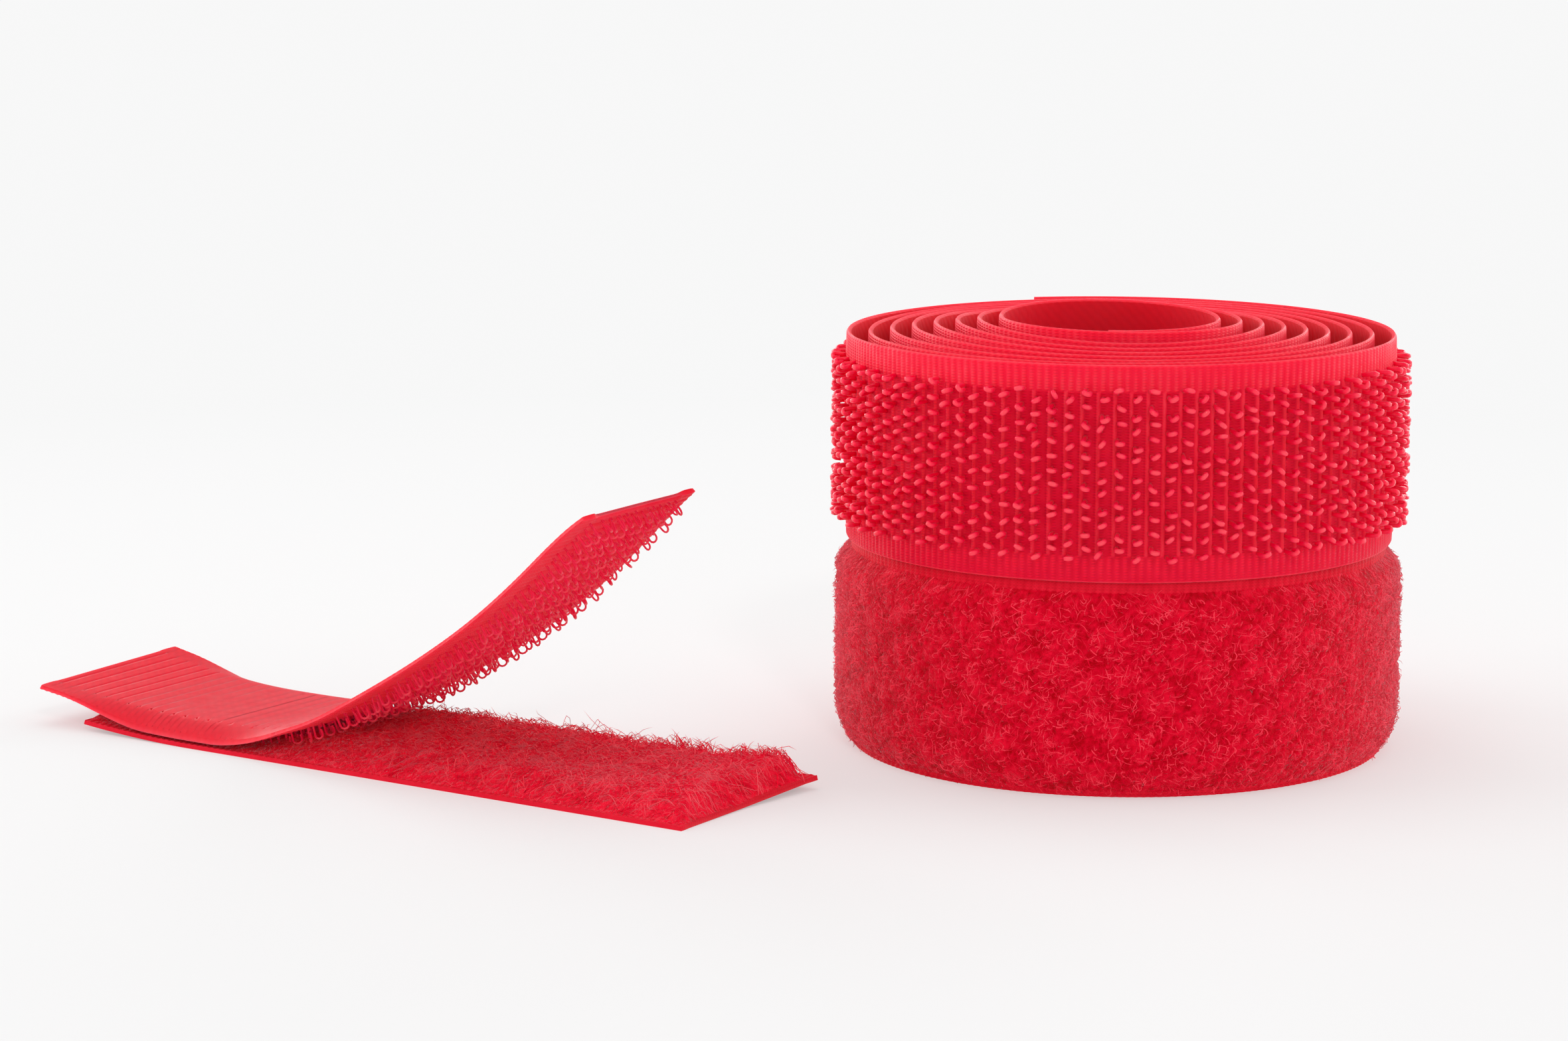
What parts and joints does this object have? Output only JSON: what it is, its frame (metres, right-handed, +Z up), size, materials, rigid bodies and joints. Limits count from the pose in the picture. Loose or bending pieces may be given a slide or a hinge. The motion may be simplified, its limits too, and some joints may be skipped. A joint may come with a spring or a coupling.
{
  "type": "hook-and-loop fastener tape set",
  "caption": "Red hook-and-loop fastener tape: a roll of hook tape stacked on a roll of loop tape, beside a cut hook strip peeling off its loop strip.",
  "frame": {"origin": "on the axis of the rolls' eye, at the face that the loop roll stands on", "axes": "+Z up along the rolls' axis, +X to the right as seen from the front, away from the strips, +Y away from the front"},
  "size_m": [0.1337, 0.066, 0.0401],
  "materials": {
    "hook_tape_weave": "woven red nylon ground, semi-matte, ribbed across the width",
    "hook_monofilament": "red nylon monofilament hooks with small glints on their crowns",
    "loop_tape_weave": "woven red nylon ground",
    "loop_pile": "brushed red nylon loop pile with a soft nap"
  },
  "bodies": {
    "loop_roll": {"loop_roll_tape": "loop_tape_weave", "loop_roll_inner_pile": "loop_pile", "loop_roll_pile": "loop_pile"},
    "loop_roll_tail": {"loop_roll_tail_tape": "loop_tape_weave", "loop_roll_tail_pile": "loop_pile"},
    "hook_roll": {"hook_roll_tape": "hook_tape_weave", "hook_roll_back_left_hooks": "hook_monofilament", "hook_roll_front_left_hooks": "hook_monofilament", "hook_roll_front_right_hooks": "hook_monofilament", "hook_roll_back_right_hooks": "hook_monofilament"},
    "hook_roll_tail": {"hook_roll_tail_tape": "hook_tape_weave", "hook_roll_tail_hooks": "hook_monofilament"},
    "strip_pair": {"loop_strip_tape": "loop_tape_weave", "loop_strip_pressed_pile": "loop_pile", "loop_strip_pile": "loop_pile", "hook_strip_tape": "hook_tape_weave", "hook_strip_held_hooks": "hook_monofilament"},
    "peel_root": {"peel_root_tape": "hook_tape_weave", "peel_root_hooks": "hook_monofilament"},
    "peel_bend": {"peel_bend_tape": "hook_tape_weave", "peel_bend_hooks": "hook_monofilament"},
    "peel_end": {"peel_end_tape": "hook_tape_weave", "peel_end_hooks": "hook_monofilament"}
  },
  "joints": [
    {"name": "hook_roll_lift", "type": "slide", "parent": "loop_roll", "child": "hook_roll", "axis": [0, 0, 1], "range_m": [0, 0.03]},
    {"name": "strip_lift", "type": "slide", "parent": "loop_roll", "child": "strip_pair", "axis": [0, 0, 1], "range_m": [0, 0.03]},
    {"name": "loop_tail_pull", "type": "hinge", "parent": "loop_roll", "child": "loop_roll_tail", "pos_m": [0.0134, 0.02321, 0.01], "axis": [0, 0, -1], "range_deg": [0, 45]},
    {"name": "hook_tail_pull", "type": "hinge", "parent": "hook_roll", "child": "hook_roll_tail", "pos_m": [0.0137, 0.02373, 0.0301], "axis": [0, 0, -1], "range_deg": [0, 45]},
    {"name": "peel", "type": "hinge", "parent": "strip_pair", "child": "peel_root", "pos_m": [-0.07647, 0.00043, 0.0025], "axis": [-0.5878, -0.809, 0], "range_deg": [-10, 45], "deforming": ["loop_strip_pile"]},
    {"name": "peel_second_bend", "type": "hinge", "parent": "peel_root", "child": "peel_bend", "pos_m": [-0.07251, -0.00244, 0.00354], "axis": [-0.5878, -0.809, 0], "range_deg": [-10, 45]},
    {"name": "peel_third_bend", "type": "hinge", "parent": "peel_bend", "child": "peel_end", "pos_m": [-0.06882, -0.00513, 0.00557], "axis": [-0.5878, -0.809, 0], "range_deg": [-10, 45]}
  ],
  "couplings": [
    {"joint": "peel_second_bend", "follows": "peel", "ratio": 1},
    {"joint": "peel_third_bend", "follows": "peel", "ratio": 1}
  ]
}
